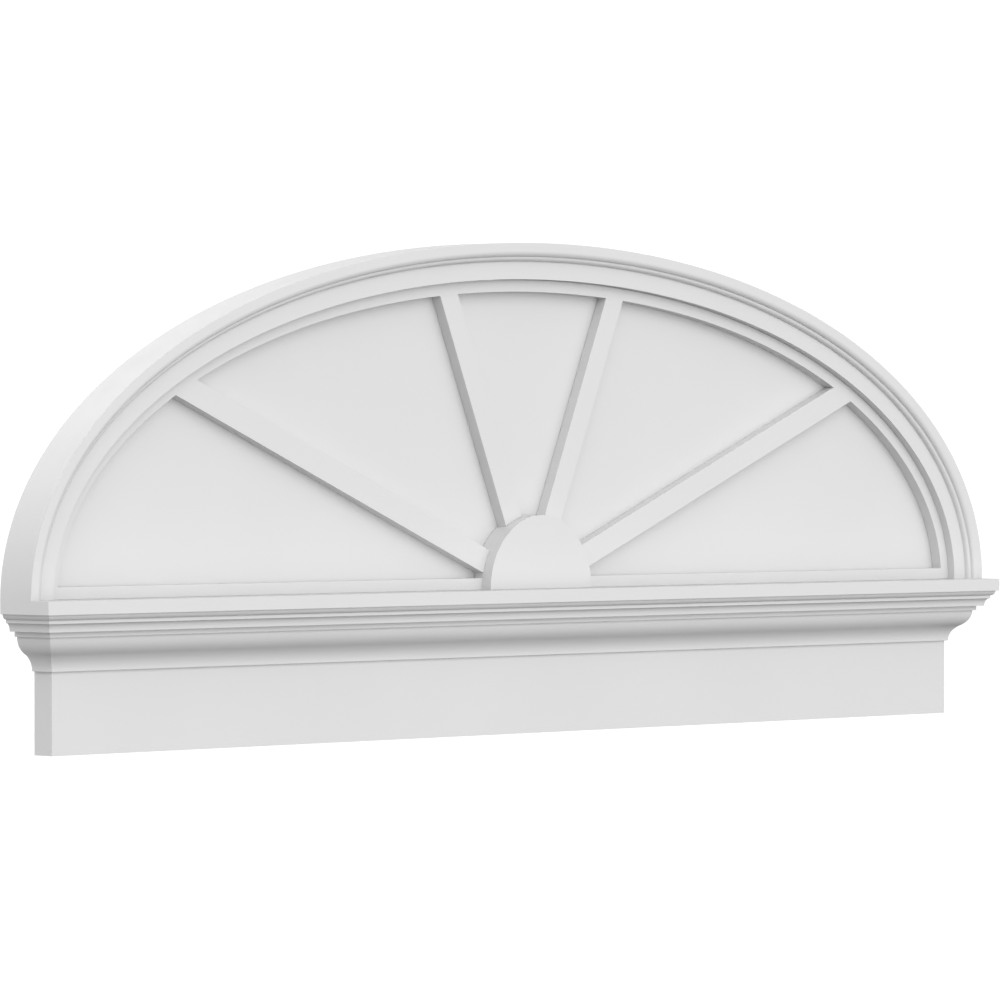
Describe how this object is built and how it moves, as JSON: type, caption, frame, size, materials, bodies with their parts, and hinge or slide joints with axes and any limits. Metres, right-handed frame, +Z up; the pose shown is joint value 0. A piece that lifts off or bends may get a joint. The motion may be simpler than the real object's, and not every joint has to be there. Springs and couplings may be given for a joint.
{
  "type": "pediment",
  "caption": "Wall-hung half-ellipse pediment: a moulded arch round a sunburst panel, over a crown moulding and a plain frieze board.",
  "frame": {"origin": "middle of the wall face, at half the width and half the whole height", "axes": "+Z up, +X to the right as seen from the front, +Y into the wall; the front faces -Y"},
  "size_m": [1.524, 0.073, 0.541],
  "materials": {
    "board_white": "smooth matt white cellular board",
    "tracery_white": "smooth matt white, cut from cellular board",
    "moulding_white": "smooth satin white moulding"
  },
  "bodies": {
    "root": {"back_panel": "board_white", "arch_moulding": "moulding_white", "sunburst_tracery": "tracery_white", "hub": "tracery_white", "frieze_board": "board_white", "crown_front": "moulding_white", "crown_return_left": "moulding_white", "crown_return_right": "moulding_white"}
  },
  "joints": []
}
